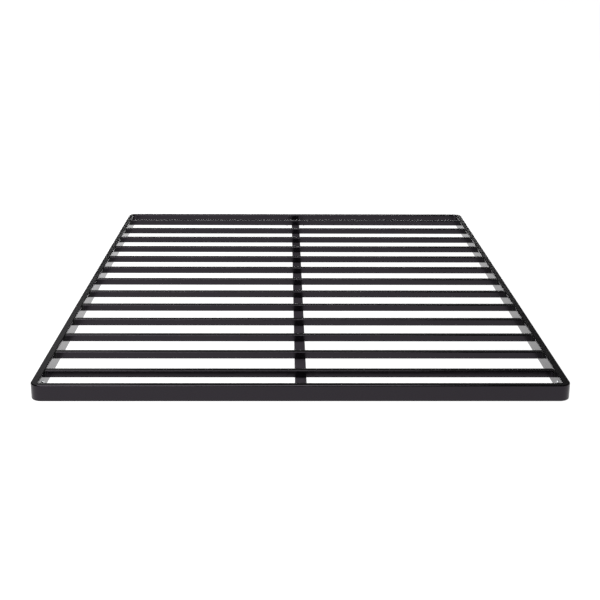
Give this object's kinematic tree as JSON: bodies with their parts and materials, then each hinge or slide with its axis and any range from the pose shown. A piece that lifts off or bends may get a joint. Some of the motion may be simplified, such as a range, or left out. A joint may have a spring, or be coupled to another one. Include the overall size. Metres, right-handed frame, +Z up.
{
  "type": "low metal bed base",
  "caption": "Low rectangular bed base of black tube with rounded corners, cross slats and a centre beam, laid flat under a mattress.",
  "frame": {"origin": "on the floor at the middle of the frame", "axes": "+X to the right seen from the foot end, +Y from foot to head, +Z up"},
  "size_m": [1.359, 1.892, 0.043],
  "materials": {
    "powder_coat": "semi-gloss black powder coat",
    "plug_plastic": "moulded, fine texture",
    "zinc_steel": "bright zinc plated"
  },
  "bodies": {
    "root": {"end_rail_foot": "powder_coat", "end_rail_head": "powder_coat", "side_rail_left": "powder_coat", "side_rail_right": "powder_coat", "centre_beam": "powder_coat", "beam_bracket_foot": "powder_coat", "beam_bracket_head": "powder_coat", "bracket_screws": "powder_coat", "slat_01": "powder_coat", "slat_02": "powder_coat", "slat_03": "powder_coat", "slat_04": "powder_coat", "slat_05": "powder_coat", "slat_06": "powder_coat", "slat_07": "powder_coat", "slat_08": "powder_coat", "slat_09": "powder_coat", "slat_10": "powder_coat", "slat_11": "powder_coat", "slat_12": "powder_coat", "slat_13": "powder_coat", "corner_insert_foot_left": "zinc_steel", "corner_insert_foot_right": "zinc_steel", "corner_insert_head_left": "zinc_steel", "corner_insert_head_right": "zinc_steel", "corner_bolts": "zinc_steel", "corner_nuts": "zinc_steel", "slat_plug_left_01": "plug_plastic", "slat_plug_left_02": "plug_plastic", "slat_plug_left_03": "plug_plastic", "slat_plug_left_04": "plug_plastic", "slat_plug_left_05": "plug_plastic", "slat_plug_left_06": "plug_plastic", "slat_plug_left_07": "plug_plastic", "slat_plug_left_08": "plug_plastic", "slat_plug_left_09": "plug_plastic", "slat_plug_left_10": "plug_plastic", "slat_plug_left_11": "plug_plastic", "slat_plug_left_12": "plug_plastic", "slat_plug_left_13": "plug_plastic", "slat_plug_right_01": "plug_plastic", "slat_plug_right_02": "plug_plastic", "slat_plug_right_03": "plug_plastic", "slat_plug_right_04": "plug_plastic", "slat_plug_right_05": "plug_plastic", "slat_plug_right_06": "plug_plastic", "slat_plug_right_07": "plug_plastic", "slat_plug_right_08": "plug_plastic", "slat_plug_right_09": "plug_plastic", "slat_plug_right_10": "plug_plastic", "slat_plug_right_11": "plug_plastic", "slat_plug_right_12": "plug_plastic", "slat_plug_right_13": "plug_plastic"}
  },
  "joints": []
}
